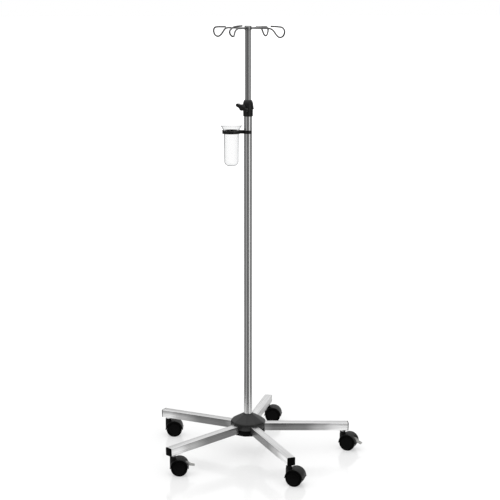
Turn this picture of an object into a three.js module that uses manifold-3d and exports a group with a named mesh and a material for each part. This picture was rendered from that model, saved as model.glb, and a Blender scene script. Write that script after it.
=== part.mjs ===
// IV drip stand: five-legged rolling base, telescopic pole with a clamp collar,
// a sliding holder with a drip cup, and a head with four bag hooks.
// Millimetres, +Z up. The floor is z = 0. Leg 1 points along +X and the others
// follow anticlockwise, seen from above.

import * as THREE from 'three';
import { mergeVertices } from 'three/addons/utils/BufferGeometryUtils.js';
import Module from 'manifold-3d';

const wasm = await Module();
wasm.setup();

const { degToRad } = THREE.MathUtils;

// ---------------------------------------------------------------- dimensions

const GAP = 0.3;                      // clearance between touching pieces

// Legs: square tube, lower at the outer end than at the hub.
const LEG_COUNT = 5;
const LEG_SIDE = 25;
const LEG_WALL = 1.5;
const LEG_CORNER = 2;
const LEG_START = 30;                 // from the pole axis to the tube's inner end
const LEG_END = 318;                  // from the pole axis to the tube's outer end
const LEG_SLOPE = degToRad(2);
const LEG_END_TOP = 87;               // height of the top face at the outer end
const LEG_CENTRE_HEIGHT =             // of the leg's centre line, at the pole axis
  LEG_END_TOP - LEG_SIDE / 2 + LEG_END * Math.tan(LEG_SLOPE);
const CAP_FLANGE = 2.4;
const CAP_INSERT = 34;

// Casters: twin wheel, hooded, with a stem in the end of each leg.
const CASTER_RADIUS = 304;            // from the pole axis to the stem
const WHEEL_SIDES = 24;
const WHEEL_RADIUS = 25.4;            // to the flats of the tread, so to the floor
const WHEEL_INNER = 4.6;              // from the caster's middle plane
const WHEEL_OUTER = 21.4;
const TRAIL = 20;                     // from the stem axis back to the axle
const AXLE_R = 3;
const HOOD_INNER = 26.2;
const HOOD_OUTER = 27.6;
const WEB_HALF = 3.6;
const BOSS_R = 9;
const BOSS_TOP = 57.8;
const STEM_R = 5.5;
const STEM_BOTTOM = 47.6;
const STEM_TOP = 81;
// Way each caster trails, from +X, and which ones carry a brake lever.
const CASTERS = [
  { trail: degToRad(-27), lever: degToRad(-12) },
  { trail: degToRad(-12.5), lever: null },
  { trail: degToRad(-5.5), lever: null },
  { trail: degToRad(-5.5), lever: 0 },
  { trail: degToRad(-25), lever: null },
];
const LEVER_PIN = { x: 13, z: 14, r: 1.5 };   // from the axle
const LEVER_TIP = 46;

// Hub: a casting with a tenon in each leg, under two plastic covers.
const HUB_BOSS_R = 28;
const HUB_BOTTOM = 66;
const HUB_TOP = 108;
const TENON_END = 70;
const COVER_SPLIT = 84;
const COVER_TOP = 125.4;
const COVER_COLLAR_TOP = 127;
const COVER_WALL = 2;

// Pole: a lower tube, with a thinner tube sliding in it.
const LOWER_R = 12.5;
const UPPER_R = 9;
const POLE_WALL = 1.5;
const LOWER_BOTTOM = 84.3;
const LOWER_TOP = 1087;
const UPPER_BOTTOM = 400;
const UPPER_TOP = 1322;
const BUSH_HEIGHT = 30;

// Clamp collar at the top of the lower tube, and its wing screw.
const COLLAR_BOTTOM = 1065;
const COLLAR_TOP = 1114.5;
const SCREW_HEIGHT = 1093;
const SCREW_ANGLE = degToRad(219.5);
const SCREW_R = 3;
const SCREW_HEAD = 18.2;              // from the pole axis to the knob's inner face
const WING_SPAN = 47;
const WING_THICKNESS = 10;
const WING_TILT = degToRad(-20);

// Holder clipped on the lower tube, and the clear cup that stands in it.
const HOLDER_ANGLE = degToRad(174.5);
const CUP_OFFSET = 50.6;              // from the pole axis to the cup's axis
const HOLDER_BOTTOM = 1013;
const HOLDER_TOP = 1023;
const RING_OUTER = 27.8;
const RING_INNER = 23.3;
const CUP_TOP = 1036.8;
const CUP_BOTTOM = 914;
const CUP_RIM_R = 32.2;
const CUP_R = 22.5;
const CUP_WALL = 1.6;

// Head and hooks.
const HEAD_TOP = 1335.3;
const HEAD_BOTTOM = UPPER_TOP + GAP;
const HEAD_R = 10.8;
const WIRE_R = 2.5;
// Each hook's angle, how much further it reaches, how deep its loop hangs, how
// high its end turns back above the arm, and how far the loop leans sideways at
// its inner leg, its bottom and its outside.
const HOOKS = [
  { angle: degToRad(-33.5), reach: 3, depth: 1, rise: 5.4, lean: [0, 0, 0] },
  { angle: degToRad(53.5), reach: 0, depth: 1, rise: 1, lean: [0, 0, 0] },
  { angle: degToRad(146.5), reach: -1, depth: 1, rise: 3, lean: [0, 0, 0] },
  { angle: degToRad(239.5), reach: 0, depth: 0.82, rise: 8, lean: [-2.5, 1, -3.6] },
];
const ARM_HEIGHT = 1328;

// ----------------------------------------------------------------- materials

const LOOKS = {
  steel: { color: 0xb9bbbd, roughness: 0.35, metalness: 0.9 },
  chrome: { color: 0xd4d6d8, roughness: 0.2, metalness: 1 },
  cast: { color: 0x8d9093, roughness: 0.6, metalness: 0.7 },
  black: { color: 0x1b1b1d, roughness: 0.45, metalness: 0 },
  rubber: { color: 0x111112, roughness: 0.7, metalness: 0 },
  grey: { color: 0xd0d1d0, roughness: 0.5, metalness: 0 },
  clear: { color: 0xe8edf0, roughness: 0.1, metalness: 0, transparent: true, opacity: 0.35 },
};

// ------------------------------------------------------------------- helpers

// A closed manifold solid from any closed three.js geometry.
function solid(geometry) {
  const bare = geometry.index ? geometry.clone() : geometry;
  bare.deleteAttribute('normal');
  bare.deleteAttribute('uv');
  const merged = mergeVertices(bare, 1e-4);
  const p = merged.attributes.position;
  const corner = (i) => new THREE.Vector3().fromBufferAttribute(p, i);
  const faces = [];
  let volume = 0;
  for (let i = 0; i < merged.index.count; i += 3) {
    const [a, b, c] = [0, 1, 2].map((k) => merged.index.getX(i + k));
    if (a === b || b === c || c === a) continue;
    faces.push([a, b, c]);
    volume += corner(a).dot(corner(b).cross(corner(c)));
  }
  const triVerts = Uint32Array.from((volume < 0 ? faces.map((f) => f.reverse()) : faces).flat());
  const vertProperties = Float32Array.from(p.array);
  return new wasm.Manifold(new wasm.Mesh({ numProp: 3, vertProperties, triVerts }));
}

function geometryOf(shape) {
  const mesh = shape.getMesh();
  const geometry = new THREE.BufferGeometry();
  geometry.setAttribute('position', new THREE.BufferAttribute(mesh.vertProperties, 3));
  geometry.setIndex(new THREE.BufferAttribute(mesh.triVerts, 1));
  geometry.computeVertexNormals();
  return geometry;
}

// A profile of [radius, height] points turned about +Z. A profile that leaves
// the axis open at both ends is closed on itself.
function turned(profile, sides = 24) {
  const points = profile.map(([r, z]) => new THREE.Vector2(r, z));
  const onAxis = profile[0][0] === 0 && profile.at(-1)[0] === 0;
  if (!onAxis) points.push(points[0].clone());
  return new THREE.LatheGeometry(points, sides).rotateX(Math.PI / 2);
}

const rod = (r, z0, z1, sides = 24) => turned([[0, z0], [r, z0], [r, z1], [0, z1]], sides);
const pipe = (r, bore, z0, z1, sides = 24) =>
  turned([[bore, z0], [r, z0], [r, z1], [bore, z1]], sides);

function box(x0, x1, y0, y1, z0, z1) {
  return new THREE.BoxGeometry(x1 - x0, y1 - y0, z1 - z0)
    .translate((x0 + x1) / 2, (y0 + y1) / 2, (z0 + z1) / 2);
}

// An outline drawn in the X-Z plane, made 2 * half thick about y = 0.
function plate(outline, half, curveSegments = 16) {
  return new THREE.ExtrudeGeometry(outline, { depth: 2 * half, bevelEnabled: false, curveSegments })
    .translate(0, 0, -half)
    .rotateX(Math.PI / 2);
}

function polygon(points) {
  return new THREE.Shape(points.map(([x, y]) => new THREE.Vector2(x, y)));
}

// A square with rounded corners, centred on the origin.
function roundedSquare(side, corner, Kind = THREE.Shape) {
  const h = side / 2;
  const outline = new Kind();
  outline.moveTo(h, h - corner);
  outline.absarc(h - corner, h - corner, corner, 0, Math.PI / 2);
  outline.absarc(corner - h, h - corner, corner, Math.PI / 2, Math.PI);
  outline.absarc(corner - h, corner - h, corner, Math.PI, 1.5 * Math.PI);
  outline.absarc(h - corner, corner - h, corner, 1.5 * Math.PI, 2 * Math.PI);
  outline.closePath();
  return outline;
}

// Lofts a ten-sided outline with blunt corners through levels of [apothem,
// height]. Every other flat faces along a leg.
function tenSidedLoft(levels, cornerTurn = degToRad(13.5)) {
  const sides = 2 * LEG_COUNT;
  const count = 2 * sides;
  const positions = [];
  for (const [apothem, z] of levels) {
    const r = apothem / Math.cos(cornerTurn);
    for (let i = 0; i < count; i += 1) {
      const side = Math.floor((i + 1) / 2);
      const angle = (side * 2 * Math.PI) / sides + (i % 2 ? -cornerTurn : cornerTurn);
      positions.push(r * Math.cos(angle), r * Math.sin(angle), z);
    }
  }
  const last = (levels.length - 1) * count;
  const bottom = positions.push(0, 0, levels[0][1]) / 3 - 1;
  const top = positions.push(0, 0, levels.at(-1)[1]) / 3 - 1;
  const index = [];
  for (let i = 0; i < count; i += 1) {
    const j = (i + 1) % count;
    for (let level = 0; level < levels.length - 1; level += 1) {
      const [a, b] = [level * count, (level + 1) * count];
      index.push(a + i, a + j, b + j, a + i, b + j, b + i);
    }
    index.push(bottom, j, i, top, last + i, last + j);
  }
  const geometry = new THREE.BufferGeometry();
  geometry.setAttribute('position', new THREE.Float32BufferAttribute(positions, 3));
  geometry.setIndex(index);
  return geometry;
}

function mesh(name, look, shape) {
  const geometry = geometryOf(shape.isBufferGeometry ? solid(shape) : shape);
  const material = new THREE.MeshStandardMaterial({ name: look, ...LOOKS[look] });
  const result = new THREE.Mesh(geometry, material);
  result.name = name;
  return result;
}

function turnedGroup(angle, ...children) {
  const group = new THREE.Group();
  group.rotation.z = angle;
  group.add(...children);
  return group;
}

// Cuts for the five legs, grown by a clearance, in the hub's covers.
function legSpaces(clearance) {
  const h = LEG_SIDE / 2 + clearance;
  return Array.from({ length: LEG_COUNT }, (_, i) =>
    solid(box(0, LEG_END, -h, h, -h, h)
      .rotateY(LEG_SLOPE)
      .translate(0, 0, LEG_CENTRE_HEIGHT)
      .rotateZ((i * 2 * Math.PI) / LEG_COUNT)));
}

// ---------------------------------------------------------------------- legs

// The leg's own frame: X outward along its centre line, from the pole axis.
function legTube() {
  const outline = roundedSquare(LEG_SIDE, LEG_CORNER);
  outline.holes.push(roundedSquare(LEG_SIDE - 2 * LEG_WALL, LEG_CORNER / 2, THREE.Path));
  const tube = new THREE.ExtrudeGeometry(outline, {
    depth: LEG_END - LEG_START, bevelEnabled: false, curveSegments: 2,
  }).rotateY(Math.PI / 2).translate(LEG_START, 0, 0);
  const stemHole = rod(STEM_R + 1, -LEG_SIDE, 0, 10).translate(CASTER_RADIUS, 0, 0);
  return solid(tube).subtract(solid(stemHole));
}

// Plug that closes the leg and grips the caster's stem.
function endCap() {
  const fit = (LEG_SIDE - 2 * LEG_WALL) / 2 - GAP;
  const flangeStart = LEG_END + GAP;
  const insert = box(LEG_END - CAP_INSERT, flangeStart + 0.5, -fit, fit, -fit, fit);
  const flange = new THREE.ExtrudeGeometry(roundedSquare(LEG_SIDE, LEG_CORNER), {
    depth: CAP_FLANGE, bevelEnabled: false, curveSegments: 2,
  }).rotateY(Math.PI / 2).translate(flangeStart, 0, 0);
  const stemBore = rod(STEM_R + GAP, -LEG_SIDE, LEG_SIDE, 10)
    .rotateY(-LEG_SLOPE)
    .translate(CASTER_RADIUS / Math.cos(LEG_SLOPE), 0, 0);
  return solid(insert).add(solid(flange)).subtract(solid(stemBore));
}

function leg(number) {
  const sloped = new THREE.Group();
  sloped.position.z = LEG_CENTRE_HEIGHT;
  sloped.rotation.y = LEG_SLOPE;
  sloped.add(
    mesh(`leg_${number}`, 'steel', legTube()),
    mesh(`end_cap_${number}`, 'black', endCap()),
  );
  return sloped;
}

// ------------------------------------------------------------------- casters

// The caster's own frame: stem on +Z, wheels trailing along +X, floor at z = 0.
const atAxle = (geometry) => geometry.translate(TRAIL, 0, WHEEL_RADIUS);

function casterStem() {
  return turned([
    [0, STEM_BOTTOM], [STEM_R, STEM_BOTTOM], [STEM_R, 58.2],
    [8, 58.2], [8, 61.8], [STEM_R, 61.8], [STEM_R, STEM_TOP], [0, STEM_TOP],
  ], 12);
}

function hoodShell() {
  const outline = new THREE.Shape();
  outline.absarc(0, 0, HOOD_OUTER, 0, Math.PI);
  outline.absarc(0, 0, HOOD_INNER, Math.PI, 0, true);
  outline.closePath();
  const lip = (x) => solid(atAxle(box(x - 1.6, x + 1.6, -WHEEL_OUTER, WHEEL_OUTER, -1.2, 1)));
  const middle = (HOOD_OUTER + HOOD_INNER) / 2 + 0.5;
  return solid(atAxle(plate(outline, WHEEL_OUTER, 9))).add(lip(middle)).add(lip(-middle));
}

function hoodWeb() {
  const outline = new THREE.Shape();
  outline.absarc(0, 0, (HOOD_OUTER + HOOD_INNER) / 2, 0, Math.PI);
  outline.lineTo(-7, 0);
  outline.absarc(0, 0, 7, Math.PI, 2 * Math.PI);
  outline.closePath();
  return solid(atAxle(plate(outline, WEB_HALF, 9)));
}

function casterHood(hasLever) {
  const wheelSpace = solid(atAxle(plate(new THREE.Shape().absarc(0, 0, HOOD_INNER, 0, 2 * Math.PI),
    2 * WHEEL_OUTER, 9)));
  const boss = solid(rod(BOSS_R, WHEEL_RADIUS, BOSS_TOP, 12)).subtract(wheelSpace);
  let body = hoodShell().add(boss).add(hoodWeb())
    .subtract(solid(rod(STEM_R + GAP, STEM_BOTTOM - GAP, LEG_END_TOP, 12)))
    .subtract(solid(atAxle(rod(AXLE_R + GAP, -LEG_SIDE, LEG_SIDE, 10).rotateX(Math.PI / 2))));
  if (!hasLever) return body;
  const cheekSpace = (side) => solid(atAxle(box(6.5, 26.8, side * 3 - 1.2, side * 3 + 1.2, -1.5, 21)));
  body = body
    .subtract(solid(atAxle(box(20, 32, -9, 9, 1.8, 18))))
    .subtract(cheekSpace(1))
    .subtract(cheekSpace(-1))
    .subtract(solid(atAxle(rod(LEVER_PIN.r + GAP, -5, 5, 12).rotateX(Math.PI / 2)
      .translate(LEVER_PIN.x, 0, LEVER_PIN.z))));
  return body;
}

function casterAxle() {
  return atAxle(rod(AXLE_R, -WHEEL_OUTER + 2, WHEEL_OUTER - 2, 12).rotateX(Math.PI / 2));
}

// A disc with a flat of its tread at the bottom. side is +1 or -1.
function casterWheel(side) {
  const r = WHEEL_RADIUS / Math.cos(Math.PI / WHEEL_SIDES);
  const bore = AXLE_R + GAP;
  const profile = [
    [bore, WHEEL_INNER], [r, WHEEL_INNER], [r, WHEEL_OUTER - 1.8], [r - 1.8, WHEEL_OUTER],
    [bore, WHEEL_OUTER],
  ];
  return atAxle(turned(profile, WHEEL_SIDES)
    .rotateZ(Math.PI / WHEEL_SIDES)
    .rotateX((-side * Math.PI) / 2));
}

// Pedal with two cheeks that straddle the web and turn on a pin.
function brakeLever(press) {
  const cheek = polygon([[-4, -4], [4, -5.5], [15.5, -8], [15.5, 0.5], [4, 4], [-4, 4]]);
  const pedal = polygon([
    [15.1, -8], [19, -8], [LEVER_TIP - LEVER_PIN.x, -9], [LEVER_TIP - LEVER_PIN.x, -6.6],
    [20, -1.5], [15.1, 0.5],
  ]);
  const onSide = (side) => solid(plate(cheek, 1).translate(0, side * 3.1, 0));
  const shape = solid(plate(pedal, 8)).add(onSide(1)).add(onSide(-1))
    .subtract(solid(rod(LEVER_PIN.r + GAP, -5, 5, 12).rotateX(Math.PI / 2)));
  return geometryOf(shape).rotateY(-press).translate(LEVER_PIN.x, 0, LEVER_PIN.z);
}

function brakePin() {
  return atAxle(rod(LEVER_PIN.r, -4, 4, 12).rotateX(Math.PI / 2).translate(LEVER_PIN.x, 0, LEVER_PIN.z));
}

function caster(number, { trail, lever }) {
  const braked = lever !== null;
  const swivel = turnedGroup(
    trail,
    mesh(`caster_hood_${number}`, 'black', casterHood(braked)),
    mesh(`caster_axle_${number}`, 'steel', casterAxle()),
    mesh(`wheel_left_${number}`, 'rubber', casterWheel(1)),
    mesh(`wheel_right_${number}`, 'rubber', casterWheel(-1)),
  );
  if (braked) {
    swivel.add(
      mesh(`brake_lever_${number}`, 'grey', atAxle(brakeLever(lever))),
      mesh(`brake_pin_${number}`, 'steel', brakePin()),
    );
  }
  const angle = ((number - 1) * 2 * Math.PI) / LEG_COUNT;
  const place = new THREE.Group();
  place.position.set(CASTER_RADIUS * Math.cos(angle), CASTER_RADIUS * Math.sin(angle), 0);
  place.add(mesh(`caster_stem_${number}`, 'steel', casterStem()), swivel);
  return place;
}

// ----------------------------------------------------------------------- hub

function hubCore() {
  const half = LEG_SIDE / 2 - LEG_WALL - GAP;
  let core = solid(rod(HUB_BOSS_R, HUB_BOTTOM + 4, HUB_TOP, 24));
  for (let i = 0; i < LEG_COUNT; i += 1) {
    const tenon = box(15, TENON_END, -half, half, -half, half)
      .rotateY(LEG_SLOPE)
      .translate(0, 0, LEG_CENTRE_HEIGHT)
      .rotateZ((i * 2 * Math.PI) / LEG_COUNT);
    core = core.add(solid(tenon));
  }
  const poleBore = rod(LOWER_R + GAP, LOWER_BOTTOM - GAP, HUB_TOP + 1, 24);
  const boltHole = rod(4.5, HUB_BOTTOM, HUB_TOP, 12);
  const headRecess = rod(11, HUB_BOTTOM, 80, 16);
  return core.subtract(solid(poleBore)).subtract(solid(boltHole)).subtract(solid(headRecess));
}

function coverLevels(inset) {
  return [
    [52.4, HUB_BOTTOM], [53.2, COVER_SPLIT], [53.4, 101.5], [52.6, 104], [50.2, 106.2],
    [45, 109.6], [18, COVER_TOP],
  ].map(([apothem, z]) => [apothem - inset, z - (z > COVER_SPLIT ? inset * 0.8 : 0)]);
}

function upperCover() {
  const outside = coverLevels(0).filter(([, z]) => z >= COVER_SPLIT);
  const inside = coverLevels(COVER_WALL).filter(([, z]) => z >= COVER_SPLIT);
  inside[0][1] -= 1;
  let cover = solid(tenSidedLoft(outside))
    .add(solid(rod(16.8, COVER_TOP - 4, COVER_COLLAR_TOP, 24)))
    .subtract(solid(tenSidedLoft(inside)))
    .subtract(solid(rod(LOWER_R + GAP, COVER_SPLIT, COVER_COLLAR_TOP + 1, 24)));
  for (const space of legSpaces(0.4)) cover = cover.subtract(space);
  return cover;
}

function lowerCover() {
  const floor = HUB_BOTTOM + COVER_WALL;
  const seam = COVER_SPLIT - GAP;
  let cover = solid(tenSidedLoft([[52.4, HUB_BOTTOM], [53.2, seam]]))
    .subtract(solid(tenSidedLoft([[52.4 - COVER_WALL, floor], [53.2 - COVER_WALL, seam + 1]])));
  for (const space of legSpaces(0.4)) cover = cover.subtract(space);
  return cover;
}

function hexHead(acrossFlats, z0, z1) {
  return rod(acrossFlats / Math.sqrt(3), z0, z1, 6);
}

function hub() {
  const group = new THREE.Group();
  const bolt = solid(hexHead(13, 73.6, 78)).add(solid(rod(4, 77.5, 104, 20)));
  group.add(
    mesh('hub_core', 'cast', hubCore()),
    mesh('hub_upper_cover', 'black', upperCover()),
    mesh('hub_lower_cover', 'black', lowerCover()),
    mesh('pole_bolt', 'steel', bolt),
    mesh('bolt_washer', 'steel', pipe(9.5, 4.3, 78.3, 79.7, 24)),
  );
  return group;
}

// ---------------------------------------------------------------------- pole

function pole() {
  const group = new THREE.Group();
  const insert = pipe(LOWER_R - POLE_WALL - GAP, 4.3, LOWER_BOTTOM + 0.5, LOWER_BOTTOM + 24, 32);
  const bushTop = UPPER_BOTTOM + BUSH_HEIGHT;
  const bushOuter = LOWER_R - POLE_WALL - GAP;
  group.add(
    mesh('lower_tube', 'steel', pipe(LOWER_R, LOWER_R - POLE_WALL, LOWER_BOTTOM, LOWER_TOP)),
    mesh('pole_insert', 'steel', insert),
    mesh('upper_tube', 'steel', pipe(UPPER_R, UPPER_R - POLE_WALL + 0.3, UPPER_BOTTOM, UPPER_TOP)),
    mesh('guide_bush', 'black', pipe(bushOuter, UPPER_R + GAP, UPPER_BOTTOM, bushTop, 32)),
  );
  return group;
}

// --------------------------------------------------------------------- clamp

// The screw's own frame: +X outward along the screw, from the pole axis.
const alongScrew = (geometry) => geometry.rotateY(Math.PI / 2);

function clampCollar() {
  const body = solid(turned([
    [LOWER_R + GAP, COLLAR_BOTTOM], [15, COLLAR_BOTTOM], [15, 1085.5], [17.6, 1087.5],
    [14.9, 1106], [13.4, 1110.6], [10.8, COLLAR_TOP], [UPPER_R + GAP, COLLAR_TOP],
    [UPPER_R + GAP, LOWER_TOP + GAP], [LOWER_R + GAP, LOWER_TOP + GAP],
  ]));
  const pocket = solid(alongScrew(rod(4.4, 5, 13.8, 12)));
  const thread = solid(alongScrew(rod(SCREW_R + GAP, 5, 25, 12)));
  const bores = pocket.add(thread);
  return geometryOf(body.subtract(solid(
    geometryOf(bores).rotateZ(SCREW_ANGLE).translate(0, 0, SCREW_HEIGHT))));
}

// Wing knob: a round boss with a flat wing across it.
function wingKnob() {
  const round = WING_THICKNESS / 2;
  const half = WING_SPAN / 2 - round;
  const wing = new THREE.Shape();
  wing.moveTo(-half, -round);
  wing.lineTo(half, -round);
  wing.absarc(half, 0, round, -Math.PI / 2, Math.PI / 2);
  wing.lineTo(-half, round);
  wing.absarc(-half, 0, round, Math.PI / 2, 1.5 * Math.PI);
  wing.closePath();
  const depth = 9;
  const bar = new THREE.ExtrudeGeometry(wing, { depth, bevelEnabled: false, curveSegments: 3 })
    .translate(0, 0, SCREW_HEAD + 3)
    .rotateZ(Math.PI / 2 + WING_TILT);
  const boss = turned([
    [0, SCREW_HEAD], [8.5, SCREW_HEAD], [9.7, SCREW_HEAD + 1.5], [9.7, SCREW_HEAD + 10],
    [7.5, SCREW_HEAD + 13], [0, SCREW_HEAD + 13],
  ], 20);
  const socket = rod(SCREW_R + GAP, 0, SCREW_HEAD + 9, 12);
  return alongScrew(geometryOf(solid(bar).add(solid(boss)).subtract(solid(socket))));
}

function clamp() {
  const group = new THREE.Group();
  const padInner = UPPER_R + 0.45;
  const screw = turnedGroup(
    SCREW_ANGLE,
    mesh('pressure_pad', 'grey', alongScrew(rod(4, padInner, padInner + 2, 12))),
    mesh('clamp_screw', 'steel', alongScrew(rod(SCREW_R, padInner + 2.3, SCREW_HEAD + 8.5, 12))),
    mesh('wing_knob', 'black', wingKnob()),
  );
  screw.position.z = SCREW_HEIGHT;
  group.add(mesh('clamp_collar', 'black', clampCollar()), screw);
  return group;
}

// ------------------------------------------------------------- cup and holder

// The holder's own frame: pole axis at the origin, cup out along +X.
function cupHolder() {
  const at = (geometry) => geometry.translate(CUP_OFFSET, 0, 0);
  const clipOuter = 15.8;
  const ring = solid(at(rod(RING_OUTER, HOLDER_BOTTOM, HOLDER_TOP, 28)));
  const clip = solid(rod(clipOuter, HOLDER_BOTTOM, HOLDER_TOP, 28));
  const arm = solid(box(8, 30, -6.5, 6.5, HOLDER_BOTTOM, HOLDER_TOP));
  const mouth = new THREE.Shape([
    new THREE.Vector2(0, 0), new THREE.Vector2(-30, 33), new THREE.Vector2(-30, -33),
  ]);
  const opening = new THREE.ExtrudeGeometry(mouth, { depth: 14, bevelEnabled: false })
    .translate(0, 0, HOLDER_BOTTOM - 2);
  return ring.add(clip).add(arm)
    .subtract(solid(at(rod(RING_INNER, HOLDER_BOTTOM - 1, HOLDER_TOP + 1, 28))))
    .subtract(solid(rod(LOWER_R + GAP, HOLDER_BOTTOM - 1, HOLDER_TOP + 1, 28)))
    .subtract(solid(opening));
}

function dripCup() {
  const neck = HOLDER_TOP + GAP;
  const corner = 14;
  const arc = (r, centreZ, wallR, from, to) => Array.from({ length: 3 }, (_, i) => {
    const a = from + ((to - from) * i) / 2;
    return [wallR - r + r * Math.cos(a), centreZ + r * Math.sin(a)];
  });
  const centreZ = CUP_BOTTOM + corner;
  const base = CUP_R - 0.6;
  return turned([
    [0, CUP_BOTTOM],
    ...arc(corner, centreZ, base, -Math.PI / 2, 0),
    [CUP_R, neck - 0.2], [CUP_R + 1.6, neck + 0.4],
    [CUP_RIM_R, CUP_TOP - 1], [CUP_RIM_R, CUP_TOP],
    [CUP_RIM_R - CUP_WALL, CUP_TOP], [CUP_R + 0.2, neck + 0.8], [CUP_R - CUP_WALL, neck - 2],
    ...arc(corner - CUP_WALL, centreZ, base - CUP_WALL, 0, -Math.PI / 2),
    [0, CUP_BOTTOM + CUP_WALL],
  ]);
}

function cupAndHolder() {
  return turnedGroup(
    HOLDER_ANGLE,
    mesh('cup_holder', 'black', cupHolder()),
    mesh('drip_cup', 'clear', dripCup().translate(CUP_OFFSET, 0, 0)),
  );
}

// ------------------------------------------------------------ head and hooks

function headCap() {
  const spigotR = UPPER_R - POLE_WALL - 0.1;
  let cap = solid(turned([
    [0, HEAD_BOTTOM - 25], [spigotR, HEAD_BOTTOM - 25], [spigotR, HEAD_BOTTOM],
    [HEAD_R - 0.8, HEAD_BOTTOM], [HEAD_R, HEAD_BOTTOM + 0.8], [HEAD_R, HEAD_TOP - 1.6],
    [HEAD_R - 1.6, HEAD_TOP], [0, HEAD_TOP],
  ], 24));
  for (const { angle } of HOOKS) {
    const seat = rod(WIRE_R + GAP, 5.2, HEAD_R + 2, 8)
      .rotateY(Math.PI / 2)
      .translate(0, 0, ARM_HEIGHT)
      .rotateZ(angle);
    cap = cap.subtract(solid(seat));
  }
  return cap;
}

// The hook's own frame: +X outward, the pole axis at the origin. The wire runs
// out level, dips to a rounded loop, rises and turns back beside itself.
function hook({ reach: far, depth, rise, lean: [inner, bottom, out] }) {
  const route = [
    [5.5, 0, 0], [30, 0, 0], [52, 0, 0], [72, inner / 4, -0.5],
    [79 + far / 2, inner * 0.7, -3.5], [86 + far, inner, -11.5 * depth],
    [94 + far, (inner + bottom) / 2, -21 * depth], [103 + far, bottom, -25.7 * depth],
    [111.5 + far, (bottom + out) / 2, -23.5 * depth], [117.5 + far, out * 0.9, -15.5 * depth],
    [118.5 + far, out, -7 * depth], [114 + far, out * 0.8 + 1.5, 0],
    [107 + far, out * 0.4 + 4, rise * 0.65], [97, 7, rise * 0.9], [84, 10, rise],
    [70, 13, rise + 0.3],
  ].map((p) => new THREE.Vector3(...p));
  const section = new THREE.Shape().absarc(0, 0, WIRE_R, 0, 2 * Math.PI);
  return new THREE.ExtrudeGeometry(section, {
    steps: 22, curveSegments: 4, bevelEnabled: false,
    extrudePath: new THREE.CatmullRomCurve3(route),
  }).translate(0, 0, ARM_HEIGHT);
}

function head() {
  const group = new THREE.Group();
  group.add(mesh('hook_head', 'steel', headCap()));
  HOOKS.forEach((bend, i) => {
    group.add(turnedGroup(bend.angle, mesh(`hook_${i + 1}`, 'chrome', hook(bend))));
  });
  return group;
}

// --------------------------------------------------------------------- stand

const stand = new THREE.Group();
stand.name = 'iv_drip_stand';
for (let i = 0; i < LEG_COUNT; i += 1) {
  stand.add(turnedGroup((i * 2 * Math.PI) / LEG_COUNT, leg(i + 1)));
  stand.add(caster(i + 1, CASTERS[i]));
}
stand.add(hub(), pole(), clamp(), cupAndHolder(), head());

// The origin is on the floor, under the middle of the footprint.
const middle = new THREE.Box3().setFromObject(stand).getCenter(new THREE.Vector3());
stand.position.set(-middle.x, -middle.y, 0);

export default stand;
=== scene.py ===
# IV drip stand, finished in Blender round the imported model.

import math

import bpy
from mathutils import Matrix, Vector


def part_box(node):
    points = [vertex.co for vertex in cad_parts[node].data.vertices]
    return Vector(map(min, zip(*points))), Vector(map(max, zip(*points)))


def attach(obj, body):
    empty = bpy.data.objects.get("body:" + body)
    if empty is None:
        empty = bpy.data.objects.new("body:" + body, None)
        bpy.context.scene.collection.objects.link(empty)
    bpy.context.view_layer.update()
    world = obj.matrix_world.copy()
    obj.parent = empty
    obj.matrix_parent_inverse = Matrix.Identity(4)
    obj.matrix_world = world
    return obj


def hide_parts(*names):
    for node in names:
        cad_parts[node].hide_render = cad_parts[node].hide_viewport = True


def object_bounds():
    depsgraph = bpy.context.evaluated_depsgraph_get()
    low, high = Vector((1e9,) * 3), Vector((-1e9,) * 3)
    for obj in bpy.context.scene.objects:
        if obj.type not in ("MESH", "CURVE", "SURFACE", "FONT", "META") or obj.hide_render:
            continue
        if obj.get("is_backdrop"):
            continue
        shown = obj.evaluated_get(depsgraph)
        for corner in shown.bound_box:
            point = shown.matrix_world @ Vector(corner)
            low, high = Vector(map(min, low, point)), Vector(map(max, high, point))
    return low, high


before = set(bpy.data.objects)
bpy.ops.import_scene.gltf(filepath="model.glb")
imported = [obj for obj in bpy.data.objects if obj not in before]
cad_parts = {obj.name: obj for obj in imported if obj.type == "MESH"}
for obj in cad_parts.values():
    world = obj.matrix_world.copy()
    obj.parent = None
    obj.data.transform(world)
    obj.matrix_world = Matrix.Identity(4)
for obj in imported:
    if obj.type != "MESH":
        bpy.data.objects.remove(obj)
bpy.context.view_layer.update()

# -------------------------------------------------------------------- the view
# A long lens looks slightly down at the stand from the front. Leg 1 points to
# the right and a little away from the camera.

LEG_1_TURN = math.radians(5.54)
CAMERA_DISTANCE = 3.949
CAMERA_HEIGHT = 1.449
CAMERA_PITCH = math.radians(11.40)
CAMERA_LENS = 94.04
CAMERA_SENSOR = 36
CAMERA_SHIFT = 0.0039
CAMERA_REACH = 200
tube_low, tube_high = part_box("lower_tube")
pole = (tube_low + tube_high) / 2

camera_data = bpy.data.cameras.new("camera")
camera_data.sensor_width = CAMERA_SENSOR
camera_data.lens = CAMERA_LENS
camera_data.shift_x = CAMERA_SHIFT
camera_data.clip_end = CAMERA_REACH
camera = bpy.data.objects.new("camera", camera_data)
bpy.context.scene.collection.objects.link(camera)
camera.location = (
    pole.x - CAMERA_DISTANCE * math.sin(LEG_1_TURN),
    pole.y - CAMERA_DISTANCE * math.cos(LEG_1_TURN),
    CAMERA_HEIGHT,
)
camera.rotation_euler = (math.pi / 2 - CAMERA_PITCH, 0, -LEG_1_TURN)
bpy.context.scene.camera = camera

# ------------------------------------------------------- floor and studio light
# A white sweep of floor under one big soft light, with grey cards round the
# stand that draw the long dark and light lines down the bright metal.

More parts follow.
